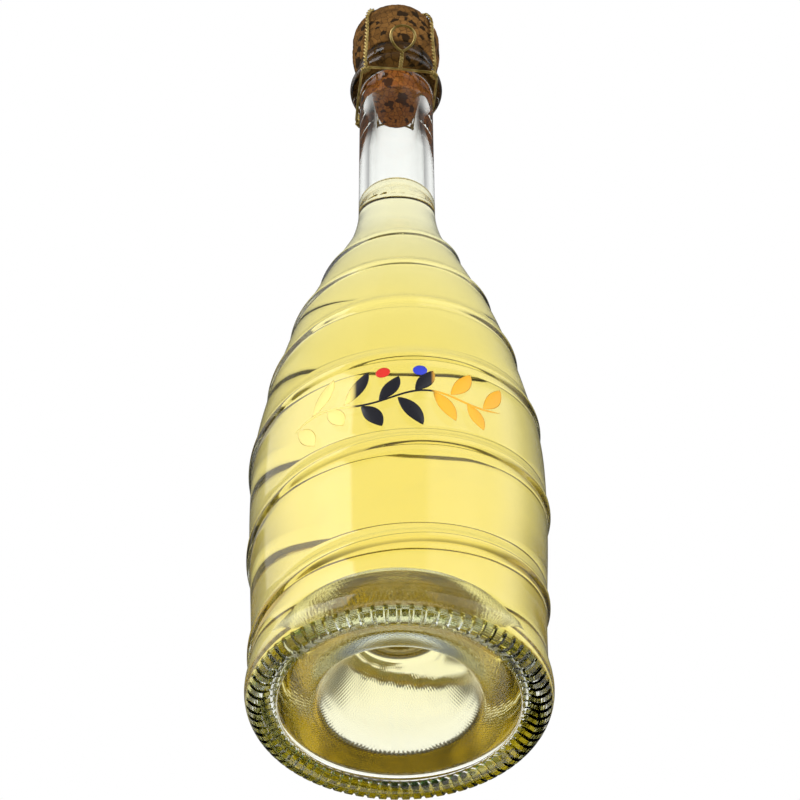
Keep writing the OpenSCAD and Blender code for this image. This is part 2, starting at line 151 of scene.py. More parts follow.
class Skin:
    """The points and faces of one mesh, gathered grid by grid."""

    def __init__(self):
        self.points, self.faces, self.count = [], [], 0

    def lay(self, points):
        """Adds a grid of points and gives their numbers in the grid's shape."""
        flat = points.reshape(-1, 3)
        numbers = self.count + np.arange(len(flat)).reshape(points.shape[:-1])
        self.points.append(flat)
        self.count += len(flat)
        return numbers

    def weave(self, rows):
        """Quads between neighbouring rows of numbers, closed round each row."""
        low, high = rows[:-1], rows[1:]
        quads = np.stack([low, np.roll(low, -1, 1), np.roll(high, -1, 1), high], -1)
        self.faces += quads.reshape(-1, 4).tolist()

    def halve(self, fine, coarse):
        """Three triangles for every two steps, from a ring of 2n points to a ring of n."""
        f0, f1, f2 = fine[0::2], fine[1::2], np.roll(fine, -2)[0::2]
        c1 = np.roll(coarse, -1)
        triangles = np.stack([[f0, f1, coarse], [f1, c1, coarse], [f1, f2, c1]])
        self.faces += np.moveaxis(triangles, 2, 1).reshape(-1, 3).tolist()

    def fan(self, ring, tip):
        """Triangles from a ring to one point in its middle."""
        middle = np.full(len(ring), self.lay(np.array([tip]))[0])
        self.faces += np.stack([ring, np.roll(ring, -1), middle], -1).tolist()

    def close(self, points, low, high):
        """A grid of rings, with its first and last ring closed to the axis at two heights."""
        rows = self.lay(points)
        self.weave(rows)
        self.fan(rows[0], (0, 0, low * MM))
        self.fan(rows[-1], (0, 0, high * MM))
        return self

    def piece(self, name, body, materials):
        """One smooth object of everything gathered, its faces turned outwards, on a body."""
        mesh = bpy.data.meshes.new(name)
        mesh.from_pydata(np.concatenate(self.points), [], self.faces)
        work = bmesh.new()
        work.from_mesh(mesh)
        bmesh.ops.remove_doubles(work, verts=work.verts, dist=1e-7)
        bmesh.ops.dissolve_degenerate(work, edges=work.edges, dist=1e-8)
        bmesh.ops.recalc_face_normals(work, faces=work.faces)
        work.to_mesh(mesh)
        work.free()
        mesh.polygons.foreach_set("use_smooth", [True] * len(mesh.polygons))
        for material in materials:
            mesh.materials.append(material)
        piece = bpy.data.objects.new(name, mesh)
        bpy.context.scene.collection.objects.link(piece)
        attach(piece, body)
        return piece


def arc(middle, size, start, end, count):
    """Points (radius, height) on an ellipse round middle, from one angle to another."""
    t = np.radians(np.linspace(start, end, count))
    return np.stack([middle[0] + size[0] * np.cos(t), middle[1] + size[1] * np.sin(t)], -1)


def turned(outline, count=ROUND):
    """An outline of (radius, height) turned round the axis: each of its points gives a row."""
    a = np.arange(count) * 360 / count
    return ring_points(a[None, :], outline[:, :1], outline[:, 1:])


# Wall with the ridge: rows that climb with the ridge, close together over it and wide apart
# between its turns. Rows that leave the wall are held at its two ends, where they merge.
RIDGE_ROWS = np.array([-1, -0.84, -0.68, -0.5, -0.3, -0.1, 0.1, 0.3, 0.5, 0.68, 0.84, 1])
GAP_ROWS = 9
WALL_LOW, WALL_HIGH = 7.0, NECK_Z
FIRST_TURN, LAST_TURN = -2, 7


def wound_wall():
    """Grid of (row, column) points: each row is one line that climbs with the ridge."""
    a = np.arange(ROUND + 1) * 360 / ROUND
    rows = []
    for turn in range(FIRST_TURN, LAST_TURN):
        centre, following = ridge_height(a + 360 * turn), ridge_height(a + 360 * turn + 360)
        for share in RIDGE_ROWS:
            rows.append((centre + share * RIDGE_HALF_W, a + 360 * turn, share * RIDGE_HALF_W + 0 * a))
        low, high = centre + RIDGE_HALF_W, following - RIDGE_HALF_W
        for k in range(1, GAP_ROWS + 1):
            share = k / (GAP_ROWS + 1)
            rows.append((low + (high - low) * share, a + 360 * turn, 2 * RIDGE_HALF_W + 0 * a))
    z, angle, off = (np.array([row[i] for row in rows]) for i in range(3))
    held = np.clip(z, WALL_LOW, WALL_HIGH)
    lift = ridge_lift(angle, off + (held - z) * (np.abs(off) <= RIDGE_HALF_W))
    return ring_points(a[None, :], outer_r(held) + lift, held), held


def glass_skin():
    """The whole glass: wall, foot, punt, neck, mouth and inside, joined ring by ring."""
    skin = Skin()
    points, held = wound_wall()
    per_turn = len(RIDGE_ROWS) + GAP_ROWS
    numbers = skin.lay(points[:, :-1])
    seam = np.roll(numbers[:, 0], -per_turn)
    seam[-per_turn:] = numbers[-1, 0]
    wide = np.concatenate([numbers, seam[:, None]], 1)
    quads = np.stack([wide[:-1, :-1], wide[:-1, 1:], wide[1:, 1:], wide[1:, :-1]], -1)
    inside = (held[:-1, :-1] < WALL_HIGH) & (held[1:, :-1] > WALL_LOW)
    inside |= (held[:-1, 1:] < WALL_HIGH) & (held[1:, 1:] > WALL_LOW)
    skin.faces += quads[inside].tolist()

    foot = turned(foot_outline())
    foot_rows = skin.lay(foot)
    skin.weave(foot_rows)
    fine = skin.lay(grip_pads())
    skin.halve(fine[0], foot_rows[-1])
    skin.weave(fine)
    dome = skin.lay(turned(dome_outline()))
    skin.halve(fine[-1], dome[0])
    skin.weave(dome)
    close_pole(skin, dome[-1], dome_outline()[-1])

    neck = skin.lay(turned(neck_outline(), ROUND // 2))
    wall_top = skin.lay(turned(np.array([[NECK_R, WALL_HIGH]])))
    skin.halve(wall_top[0], neck[0])
    skin.weave(neck)
    inner = skin.lay(inner_wall(inner_outline()))
    skin.halve(inner[0], neck[-1])
    skin.weave(inner)
    close_pole(skin, inner[-1], inner_outline()[-1])
    return skin


def close_pole(skin, ring, last):
    """Closes a ring near the axis: two smaller rings, each of half the points, then a fan."""
    for share in (0.7, 0.4):
        inner = skin.lay(turned(np.array([[last[0] * share, last[1]]]), len(ring) // 2))[0]
        skin.halve(ring, inner)
        ring = inner
    skin.fan(ring, (0, 0, last[1] * MM))


# Foot: the rounded moulding, then pads that the bottle stands on, with a groove between each two,
# then the rim of the hollow. The pads stand on a narrow edge, and from there their faces rise
# inwards to scalloped ends near the rim.
BEARING_R, BEARING_W = 40.0, 0.5
FACE_R, FACE_Z = 35.6, 2.1
RIM_R, RIM_Z, RIM_FILLET = 35.1, 2.6, 0.3
GROOVE_TOP_Z, GROOVE_FADE, GROOVE_DEPTH = 2.7, 0.9, 0.85
GROOVE_INNER_SHARE, GROOVE_WIDENING, GROOVE_LENGTH = 0.1, 0.12, 5
SCALLOP_R, SCALLOP_SWING, SCALLOP_STEP = 35.3, 1.3, 0.5
PAD_PHASES = np.array([0, 0.12, 0.22, 0.5, 0.78, 0.88])
FINE_FOOT_Z = 3.6


def foot_edge(angle):
    """The rounded edge from the standing ring (-90 degrees) out to the widest line (0)."""
    t = np.radians(angle)
    return np.stack([BEARING_R + (FOOT_R - BEARING_R) * np.cos(t), FOOT_Z + FOOT_Z * np.sin(t)], -1)


def foot_outline():
    """From the low end of the wall down over the widest line to where the pads begin."""
    top = np.array([[outer_r(WALL_LOW), WALL_LOW]])
    low = math.degrees(math.asin(FINE_FOOT_Z / FOOT_Z - 1))
    return np.concatenate([top, foot_edge(np.linspace(0, low, 4))])


def grip_pads():
    """The pads and grooves: the plain edge, face and rim, pushed into the glass where a groove runs
    and between the pads' scalloped ends. A groove's depth is one less the square of the offset over
    its half width, which is widest at its outer end and narrows inwards."""
    low = math.degrees(math.asin(FINE_FOOT_Z / FOOT_Z - 1))
    edge = foot_edge(np.concatenate([np.linspace(low, -40, 4)[1:], np.linspace(-45, -90, 8)]))
    inner_r = BEARING_R - BEARING_W
    face = np.linspace((inner_r, 0), (FACE_R, FACE_Z), 11)
    rim = np.array([[RIM_R + RIM_FILLET, FACE_Z + 0.1], [RIM_R, RIM_Z - RIM_FILLET]])
    outline = np.concatenate([edge, face, rim])
    slope = np.gradient(outline, axis=0)
    into = np.stack([slope[:, 1], -slope[:, 0]], -1)
    into /= np.linalg.norm(into, axis=1, keepdims=True)
    phase = np.tile(PAD_PHASES, PADS)
    from_groove = np.minimum(phase, 1 - phase)[None, :]
    r, z = outline[:, :1], outline[:, 1:]
    outside = smooth((GROOVE_TOP_Z - z) / GROOVE_FADE)
    along = np.where(r > inner_r, outside, 1) * smooth((r - SCALLOP_R) / GROOVE_LENGTH + 0.25)
    half_width = GROOVE_INNER_SHARE + GROOVE_WIDENING * smooth((r - SCALLOP_R) / GROOVE_LENGTH)
    groove = GROOVE_DEPTH * along * np.clip(1 - (from_groove / half_width) ** 2, 0, 1)
    pad_end = SCALLOP_R + SCALLOP_SWING * (1 - 2 * from_groove) ** 2
    beyond = SCALLOP_STEP * smooth((pad_end - r) / 0.5 + 0.5) * smooth((r - RIM_R) / 1.2)
    push = np.maximum(groove, beyond)
    r, z = r + into[:, :1] * push, z + into[:, 1:] * push
    a = (np.repeat(np.arange(PADS), len(PAD_PHASES)) + phase) * 360 / PADS
    return ring_points(a[None, :], r, np.maximum(z, 0))


# Punt: a hollow that starts as a nearly level ring inside the rim and then climbs steeply to a
# small round recess at its top. In the recess stands a low ring.
KNEE_R, KNEE_Z, KNEE_EASE = 23.6, 3.5, 1.2
RECESS_R, RECESS_Z, RECESS_H = 13.5, 26.4, 4.4
BASE_T = 5.2


def punt_z(r, rim_r, rim_z, knee_r, knee_z, head_r, head_z):
    """Height of the hollow's side: a slow straight run from rim to knee and a steep one from knee to
    head. Their mean, plus the root of half their gap squared and the ease squared, rounds the knee."""
    slow = knee_z + (rim_z - knee_z) * (r - knee_r) / (rim_r - knee_r)
    steep = knee_z + (head_z - knee_z) * (r - knee_r) / (head_r - knee_r)
    return (slow + steep) / 2 + np.sqrt(((slow - steep) / 2) ** 2 + KNEE_EASE ** 2)


def dome_outline():
    """From the rim round its fillet, up the side, over the edge of the recess and in to a boss."""
    fillet = arc((RIM_R - RIM_FILLET, RIM_Z - RIM_FILLET), (RIM_FILLET, RIM_FILLET), 18, 90, 5)
    r = np.linspace(RIM_R - RIM_FILLET, RECESS_R + 0.5, 26)[1:]
    side = np.stack([r, punt_z(r, RIM_R, RIM_Z, KNEE_R, KNEE_Z, RECESS_R, RECESS_Z)], -1)
    edge = [[13.6, 0.25], [13.2, 0.9], [13.0, 2.6], [12.6, 3.7], [11.8, 4.25], [10.6, RECESS_H]]
    ring = [[9.2, 4.3], [8.6, 3.7], [7.9, 3.6], [7.2, 4.2], [6.0, 4.3], [4.2, 4.1], [2.4, 3.9]]
    return np.concatenate([fillet, side, np.array(edge + ring) + [0, RECESS_Z]])


# Mouth: the collar over which the wire grips, a groove, the rounded lip and the bore for the cork.
COLLAR_R, COLLAR_H, COLLAR_Z = 16.9, 6.6, 290.0
LIP_R, LIP_H, LIP_ROUND = 14.2, 6.4, 1.6
BORE_R, BORE_H, THROAT_R = 8.95, 27.0, 9.8


def neck_outline():
    """From the shoulder's end up the neck, over collar, lip and mouth, and down the bore."""
    root, groove = NECK_R + 0.15 * WALL, LIP_R - 0.3 * WALL
    lip_low = GLASS_H - LIP_H
    low, high = COLLAR_Z - COLLAR_H / 2, COLLAR_Z + COLLAR_H / 2
    neck = np.array([[NECK_R, z] for z in np.linspace(NECK_Z, low - 2.2, 12)])
    fillet = np.array([[NECK_R + 0.1, low - 1.0], [root, low]])
    collar = arc((root, COLLAR_Z), (COLLAR_R - root, COLLAR_H / 2), -78, 78, 15)
    waist = np.array([[root, high + 0.2], [groove, lip_low - 1.5], [groove, lip_low - 0.3]])
    lip = arc((groove, lip_low + 1.3), (LIP_R - groove, 1.3), -70, 0, 4)
    top = arc((LIP_R - LIP_ROUND, GLASS_H - LIP_ROUND), (LIP_ROUND, LIP_ROUND), 0, 90, 6)
    half = LIP_ROUND / 2
    mouth = arc((BORE_R + half, GLASS_H - half), (half, half), 90, 180, 5)
    bore_z = np.linspace(GLASS_H - BORE_H, GLASS_H - 2 * BORE_H, 7)
    drop = BORE_R + (THROAT_R - BORE_R) * smooth((GLASS_H - BORE_H - bore_z) / BORE_H)
    return np.concatenate([neck, fillet, collar, waist, lip, top, mouth, np.stack([drop, bore_z], -1)])


# Inside: the throat, the wall, a rounded corner at the foot and the top of the dome. The glass is
# thickest round the knee of the punt. Blown glass is never quite even inside, so the wall wavers by
# a tenth of a millimetre.
THROAT_Z = GLASS_H - 2 * BORE_H
CORNER_R, CORNER_Z, CORNER_ROUND = HEEL_R - WALL, RIM_Z + BASE_T, 4.5
INNER_KNEE = KNEE_R + 0.5 * BASE_T, KNEE_Z + 1.8 * BASE_T
CAP_Z = 25.0


def inner_outline():
    """From the throat down the wall, round the corner and up over the punt to near the axis."""
    throat = np.array([[THROAT_R, z] for z in (THROAT_Z - 1, 240, 232, 226, 222)])
    z = np.concatenate([np.linspace(219, HEEL_Z, 62), [14.2, 12.8]])
    wall = np.stack([np.maximum(outer_r(np.maximum(z, HEEL_Z)) - WALL, THROAT_R), z], -1)
    middle = CORNER_R - CORNER_ROUND, CORNER_Z + CORNER_ROUND
    corner = arc(middle, (CORNER_ROUND, -CORNER_ROUND), 0, 84, 12)
    size = (RECESS_R + 1.1 * BASE_T, RECESS_Z + RECESS_H + BASE_T - CAP_Z)
    cap = arc((0, CAP_Z), size, 15, 84, 14)
    r = np.linspace(corner[-1, 0], cap[0, 0], 22)[1:-1]
    side = np.stack([r, punt_z(r, *corner[-1], *INNER_KNEE, *cap[0])], -1)
    return np.concatenate([throat, wall, corner, side, cap])


def inner_wall(outline, grow=0.0):
    """The inner outline turned round the axis, plus slow uneven waves on the wall: a sum of sines
    of the angle and the height. It is grown into the glass, square to the outline: the turn from
    its tangent points out of the hollow."""
    ahead = np.gradient(outline, axis=0)
    out = np.stack([-ahead[:, 1], ahead[:, 0]], -1)
    out /= np.maximum(np.linalg.norm(out, axis=1, keepdims=True), 1e-9)
    grown = outline + grow * out
    a = np.arange(ROUND)[None, :] * 360 / ROUND
    r, z = grown[:, :1], grown[:, 1:]
    t = np.radians(a)
    waves = 0.10 * np.sin(2 * t + z / 19) + 0.07 * np.sin(5 * t - z / 8 + 1)
    waves = waves + 0.05 * np.sin(9 * t + z / 4.3) + 0.02 * np.sin(23 * t - z / 2.1 + 2)
    on_wall = smooth((outline[:, :1] - 34) / 6) * smooth((outline[:, 1:] - 14) / 12)
    return ring_points(a, r + waves * on_wall, z)


def node_makers(tree):
    """Three functions for a node tree: one adds a node, whose inputs are values, sockets or other
    nodes; one gives the result of a sum; and one carries a range over to another range."""

    def add(kind, inputs=None, **settings):
        node = tree.nodes.new(kind)
        for key, value in settings.items():
            setattr(node, key, value)
        for key, value in (inputs or {}).items():
            if isinstance(value, bpy.types.Node):
                value = value.outputs[0]
            if isinstance(value, bpy.types.NodeSocket):
                tree.links.new(value, node.inputs[key])
            else:
                node.inputs[key].default_value = value
        return node

    def calc(operation, *values):
        return add("ShaderNodeMath", dict(enumerate(values)), operation=operation)

    def span(value, low, high, to_low=0.0, to_high=1.0, **settings):
        return add("ShaderNodeMapRange", dict(enumerate((value, low, high, to_low, to_high))), **settings)

    return add, calc, span


def shader_tree(name):
    """A new material with its node tree emptied, and the three functions that fill the tree."""
    material = bpy.data.materials.new(name)
    material.use_nodes = True
    material.node_tree.nodes.clear()
    return material, *node_makers(material.node_tree)


def lit_through(add, surface, colour):
    """The surface, but a plain see-through colour to shadow rays, so that lamps reach inside."""
    clear = add("ShaderNodeBsdfTransparent", {"Color": colour})
    shadow = add("ShaderNodeLightPath").outputs["Is Shadow Ray"]
    return add("ShaderNodeMixShader", {0: shadow, 1: surface, 2: clear})


DOT_RING_STEP, DOTS_ROUND, DOT_H = 0.95, 130.0, 0.012
DOTTED_R, DOTTED_R_FADE, DOTTED_Z, DOTTED_Z_FADE = 31, 2, 30, 1


def glass_material():
    """Clear glass with a faint green body. Fine dots stand in rings on the dome of the punt: the
    sine of the radius times the sine of the angle, faded out towards the rim and the recess."""
    material, add, calc, span = shader_tree("flint_glass")
    place = add("ShaderNodeTexCoord").outputs["Object"]
    xyz = add("ShaderNodeSeparateXYZ", {0: place}).outputs
    flat = add("ShaderNodeVectorMath", {0: place, 1: (1, 1, 0)}, operation="MULTIPLY")
    radius = add("ShaderNodeVectorMath", {0: flat}, operation="LENGTH").outputs["Value"]
    ring = calc("SINE", calc("MULTIPLY", radius, 2 * math.pi / (DOT_RING_STEP * MM)))
    dot = calc("SINE", calc("MULTIPLY", calc("ARCTAN2", xyz[1], xyz[0]), DOTS_ROUND))
    under = span(radius, (DOTTED_R + DOTTED_R_FADE) * MM, DOTTED_R * MM)
    low = span(xyz[2], (DOTTED_Z + DOTTED_Z_FADE) * MM, DOTTED_Z * MM)
    height = calc("MULTIPLY", calc("MULTIPLY", ring, dot), calc("MULTIPLY", under, low))
    bump = add("ShaderNodeBump", {"Height": height, "Strength": 1.0, "Distance": DOT_H * MM})
    glass = add("ShaderNodeBsdfPrincipled", {
        "Base Color": (0.985, 0.995, 0.975, 1), "Roughness": 0.0, "IOR": 1.52,
        "Transmission Weight": 1.0, "Normal": bump,
    })
    surface = lit_through(add, glass, (0.93, 0.95, 0.9, 1))
    tint = add("ShaderNodeVolumeAbsorption", {"Color": (0.6, 0.78, 0.55, 1), "Density": 3.5})
    add("ShaderNodeOutputMaterial", {"Surface": surface, "Volume": tint})
    return material


glass = glass_skin().piece("glass_bottle_blown", "bottle", [glass_material()])
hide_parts("glass_bottle")

# The pads were pressed with crisp edges, so the faces of their underside are shaded flat.
face_count = len(glass.data.polygons)
middles = np.empty(3 * face_count, np.float32)
glass.data.polygons.foreach_get("center", middles)
x, y, z = middles.reshape(face_count, 3).T / MM
crisp = (z < GROOVE_TOP_Z) & (np.hypot(x, y) > RIM_R + RIM_FILLET)
glass.data.polygons.foreach_set("use_smooth", ~crisp)

# Wine. A pale gold sparkling wine that fills the inside up to the neck. It wets the glass, so its
# skin lies a hair inside the bottle's inner wall, and its surface turns up at the edge.
WINE_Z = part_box("wine")[1].z / MM
WETTED = 0.05
MENISCUS_H, MENISCUS_W = 0.5, 0.8


def wine_skin():
    """The inner wall grown by a hair, cut at the level of the wine, with a meniscus on top: the
    surface falls from the edge by a height less its exponential decay."""
    outline = inner_outline()
    rim = np.array([[THROAT_R, WINE_Z]])
    outline = np.concatenate([rim, outline[outline[:, 1] < WINE_Z - 1.5]])
    skin = Skin()
    walls = skin.lay(inner_wall(outline, WETTED))
    skin.weave(walls)
    close_pole(skin, walls[-1], outline[-1])
    share = np.array([0.96, 0.9, 0.8, 0.6, 0.35])
    dip = MENISCUS_H * (1 - np.exp(-(1 - share) * THROAT_R / MENISCUS_W))
    surface = skin.lay(turned(np.stack([share * THROAT_R, WINE_Z - dip], -1)))
    skin.weave(np.concatenate([walls[:1], surface]))
    close_pole(skin, surface[-1], (0.3 * THROAT_R, WINE_Z - MENISCUS_H))
    return skin


def wine_material():
    """Clear liquid that takes out blue and a little green along the light's way through it."""
    material, add, *_ = shader_tree("sparkling_wine")
    wine = add("ShaderNodeBsdfPrincipled", {
        "Base Color": (1, 1, 0.99, 1), "Roughness": 0.0, "IOR": 1.34, "Transmission Weight": 1.0,
    })
    surface = lit_through(add, wine, (0.97, 0.93, 0.6, 1))
    gold = add("ShaderNodeVolumeAbsorption", {"Color": (0.971, 0.857, 0.048, 1), "Density": 20.0})
    add("ShaderNodeOutputMaterial", {"Surface": surface, "Volume": gold})
    return material


wine = wine_skin().piece("wine_fill", "bottle", [wine_material()])
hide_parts("wine")

# Print. A sprig of leaves and two berries, printed on the glass in enamel between two turns of the
# ridge: pale gold at its left, black in its middle and orange gold at its right.
PRINT_T, PRINT_LIFT = 0.07, 0.01
SPRIG_HALF, SPRIG_WAVE, STEM_W = 34.0, 1.8, 0.8
LEAF_STEP, LEAF_L, LEAF_W, LEAF_LEAN, LEAF_CURL = 5.4, 15.0, 4.8, 46, 22
BERRY_R, BERRY_RISE, RED_AT, BLUE_AT = 2.2, 10.5, -4.4, 6.8


def stem_rise(x):
    """How far the stem swings above the middle of its band, at x mm along the front."""
    return SPRIG_WAVE * np.sin(2 * np.pi * x / SPRIG_HALF)


def lay_stroke(skin, x, y, width):
    """A stroke of enamel along points x mm round the front and y mm above the band's middle: its
    section is a flat lozenge, as wide as the stroke there, that thins to nothing at both ends."""
    run = np.stack([np.gradient(x), np.gradient(y)], -1)
    run /= np.linalg.norm(run, axis=1, keepdims=True)
    across = np.array([-1, -0.85, 0, 0.85, 1, 0.85, 0, -0.85])[None, :]
    height = np.array([0, 1, 1, 1, 0, 0, 0, 0])[None, :]
    thick = PRINT_T * np.minimum(1, width / width.max() * 6)[:, None]
    x = x[:, None] - run[:, 1:] * across * width[:, None] / 2
    y = y[:, None] + run[:, :1] * across * width[:, None] / 2
    a = np.degrees(x / BELLY_R)
    z = (ridge_height(a + 360) + ridge_height(a + 720)) / 2 + y
    skin.weave(skin.lay(ring_points(a, outer_r(z) + PRINT_LIFT + height * thick, z)))


def sprig_skin():
    """A wavy stem with leaves in turn above and below it. A leaf is a curved line that leans the
    way the stem grows, and its width follows the sine of the way along it."""
    skin = Skin()
    t = np.linspace(0, 1, 90)
    x = SPRIG_HALF * (2 * t - 1)
    lay_stroke(skin, x, stem_rise(x), STEM_W * np.minimum(1, 12 * np.minimum(t, 1 - t)))
    t = np.linspace(0, 1, 18)
    starts = np.arange(-SPRIG_HALF + 1, SPRIG_HALF - 3, LEAF_STEP)
    for i, start in enumerate(starts):
        side = 1 if i % 2 else -1
        length = LEAF_L * (0.86 + 0.14 * math.sin(2.4 * i))
        lean = np.radians(side * (LEAF_LEAN + LEAF_CURL * t))
        x = start + length * np.cumsum(np.cos(lean)) / len(t)
        y = stem_rise(start) + length * np.cumsum(np.sin(lean)) / len(t)
        lay_stroke(skin, x, y, LEAF_W * np.sin(np.pi * t) ** 0.8)
    return skin


def berry_skin(middle, rise):
    """A round dot: a stroke as long as it is wide, whose width follows a half circle."""
    skin = Skin()
    turn = np.linspace(0, np.pi, 15)
    lay_stroke(skin, middle - BERRY_R * np.cos(turn), rise + 0 * turn, 2 * BERRY_R * np.sin(turn))
    return skin


def enamel_material(name, colours, places):
    """Glossy enamel whose colour changes by steps with the angle round the bottle, measured in
    turns from the back, and whose polish is a little uneven."""
    material, add, calc, span = shader_tree(name)
    place = add("ShaderNodeTexCoord").outputs["Object"]
    xyz = add("ShaderNodeSeparateXYZ", {0: place}).outputs
    angle = calc("ARCTAN2", xyz[0], calc("MULTIPLY", xyz[1], -1.0))
    steps = add("ShaderNodeValToRGB", {"Fac": span(angle, -math.pi, math.pi)})
    stops = steps.color_ramp.elements
    while len(stops) < len(colours):
        stops.new(0.5)
    for stop, colour, at in zip(stops, colours, places):
        stop.position, stop.color = at, colour
    grit = add("ShaderNodeTexNoise", {"Vector": place, "Scale": 900.0})
    rough = span(grit, 0, 1, 0.2, 0.45)
    paint = add("ShaderNodeBsdfPrincipled", {"Base Color": steps, "Roughness": rough})
    add("ShaderNodeOutputMaterial", {"Surface": paint})
    return material


PALE_GOLD, BLACK, ORANGE_GOLD = (0.84, 0.68, 0.20, 1), (0.012, 0.012, 0.016, 1), (0.82, 0.40, 0.02, 1)
RED, BLUE = (0.62, 0.03, 0.02, 1), (0.03, 0.05, 0.5, 1)
SPRIG_COLOURS = [PALE_GOLD, PALE_GOLD, BLACK, BLACK, ORANGE_GOLD]
SPRIG_PLACES = [0, 0.452, 0.456, 0.536, 0.540]
for name, skin, colours, places in (
    ("print_sprig", sprig_skin(), SPRIG_COLOURS, SPRIG_PLACES),
    ("print_berry_red", berry_skin(RED_AT, BERRY_RISE), [RED, RED], [0, 1]),
    ("print_berry_blue", berry_skin(BLUE_AT, BERRY_RISE), [BLUE, BLUE], [0, 1]),
):
    printed = skin.piece(name, "bottle", [enamel_material(name, colours, places)])

# Cork. The body is pressed from cork granules and bound with glue: a straight shank in the bore,
# and a head that swelled into a mushroom over the lip, a little more between the wires.
HEAD_R, HEAD_H, HEAD_FOOT_R = 15.9, 22.4, 13.4
HEAD_TOP = GLASS_H + HEAD_H
SWELL_H, DOME_H = 0.36 * HEAD_H, 0.34 * HEAD_H
SIDE_LOW, SIDE_HIGH = GLASS_H + 8.8, HEAD_TOP - 8.2
BETWEEN_LEGS = 0.32
CAP_EDGE_R = 12.26
CAP_GAP = 0.02
DISC_T = 5.5
SHANK_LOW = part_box("cork_disc_lower")[0].z / MM
SHANK_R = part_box("cork_disc_lower")[1].x / MM
TIGHT_R = BORE_R + WETTED
LEG_ANGLES = np.array([-38.6, 51.4, 141.4, 231.4])


def grain(points, wave_length, seed, count=28):
    """Uneven bumps: a sum of sine waves of random direction, all of about one wave length. Its
    height is about one, and it is cut off at one and a half."""
    draw = np.random.default_rng(seed)
    ways = draw.normal(size=(count, 3))
    ways *= 2 * np.pi / wave_length / np.linalg.norm(ways, axis=1, keepdims=True)
    ways *= draw.uniform(0.6, 1.5, (count, 1))
    phases = draw.uniform(0, 2 * np.pi, count)
    return np.clip(np.sin(points @ ways.T + phases).sum(-1) / math.sqrt(count), -1.5, 1.5)


def cork_skin():
    """Shank and head turned round the axis, swollen between the wires and pitted by the granules."""
    low = SHANK_LOW + 2 * DISC_T
    under = np.array([[r, low] for r in (3, 6)] + [[SHANK_R - 0.3, low], [SHANK_R, low + 0.3]])
    shank = np.array([[TIGHT_R, z] for z in np.linspace(low + 0.6, GLASS_H - 0.9, 15)])
    seat = np.array([[r, GLASS_H - WETTED] for r in (TIGHT_R + 0.5, 10.5, 12, 13)])
    swell_size = HEAD_R - HEAD_FOOT_R, SWELL_H - 0.02
    swell = arc((HEAD_FOOT_R, GLASS_H + SWELL_H), swell_size, -90, 0, 18)
    side = np.array([[HEAD_R, z] for z in np.linspace(SIDE_LOW, SIDE_HIGH, 10)])
    dome = arc((CAP_EDGE_R, HEAD_TOP - DOME_H), (HEAD_R - CAP_EDGE_R, DOME_H), 0, 90, 18)
    top = np.array([[r, HEAD_TOP - CAP_GAP] for r in (11, 8, 5)])
    outline = np.concatenate([under, shank, seat, swell, side, dome, top])
    count = 176
    a = np.arange(count)[None, :] * 360 / count
    r, z = outline[:, :1], outline[:, 1:]
    place = ring_points(a, r, z) / MM
    on_head = smooth((z - GLASS_H - 1) / 3) * smooth((HEAD_TOP - z) / 2)
    to_leg = np.abs((a - 90 - LEG_ANGLES[0] + 45) % 90 - 45)
    between = BETWEEN_LEGS * smooth((to_leg - 8) / 26)
    pits = 0.10 * grain(place, 2.4, 3) + 0.05 * grain(place, 1.1, 4) - 0.07
    fine = 0.02 * grain(place, 1.6, 5) * (r < HEAD_FOOT_R) * (r > SHANK_R)
    r = r + on_head * (between + pits) + fine
    return Skin().close(ring_points(a, r, z), low, HEAD_TOP - CAP_GAP)


def granules_group():
    """Node group for cork: granules as cells with dark seams, blotched light and dark."""
    group = bpy.data.node_groups.new("cork_granules", "ShaderNodeTree")
    face = group.interface
    face.new_socket("Vector", in_out="INPUT", socket_type="NodeSocketVector")
    for name, value in (("Size", 0.0024), ("Blotch", 0.5)):
        face.new_socket(name, in_out="INPUT", socket_type="NodeSocketFloat").default_value = value
    for name in ("Light", "Middle", "Dark"):
        face.new_socket(name, in_out="INPUT", socket_type="NodeSocketColor")
    face.new_socket("Color", in_out="OUTPUT", socket_type="NodeSocketColor")
    face.new_socket("Height", in_out="OUTPUT", socket_type="NodeSocketFloat")
    add, calc, span = node_makers(group)
    given = add("NodeGroupInput").outputs
    vector, size = given["Vector"], given["Size"]
    density = calc("DIVIDE", 1.0, size)
    warp = add("ShaderNodeTexNoise", {"Vector": vector, "Scale": density, "Detail": 2.0})
    bent = add("ShaderNodeVectorMath", {0: warp.outputs["Color"], "Scale": size}, operation="SCALE")
    place = add("ShaderNodeVectorMath", {0: vector, 1: bent}, operation="ADD")
    cells = add("ShaderNodeTexVoronoi", {"Vector": place, "Scale": density})
    seams = add("ShaderNodeTexVoronoi", {"Vector": place, "Scale": density}, feature="DISTANCE_TO_EDGE")
    tone = add("ShaderNodeSeparateColor", {0: cells.outputs["Color"]})
    coarse = calc("MULTIPLY", density, 0.3)
    blotch = add("ShaderNodeTexNoise", {"Vector": vector, "Scale": coarse, "Detail": 3.0})
    spots = span(blotch, given["Blotch"], 0.75, interpolation_type="SMOOTHSTEP")
    base = add("ShaderNodeMix", {0: tone, 6: given["Middle"], 7: given["Light"]}, data_type="RGBA")
    seam = span(seams.outputs["Distance"], 0, 0.09, 0.75, 0)
    dark = calc("MAXIMUM", calc("MAXIMUM", spots, calc("LESS_THAN", tone, 0.2)), seam)
    dark = calc("MULTIPLY", dark, 0.92)
    mixed = add("ShaderNodeMix", {0: dark, 6: base.outputs[2], 7: given["Dark"]}, data_type="RGBA")
    dense = calc("MULTIPLY", density, 4.0)
    fine = add("ShaderNodeTexNoise", {"Vector": vector, "Scale": dense, "Detail": 2.0})
    height = calc("SUBTRACT", calc("MULTIPLY", fine, 0.4), dark)
    add("NodeGroupOutput", {"Color": mixed.outputs[2], "Height": height})
    return group


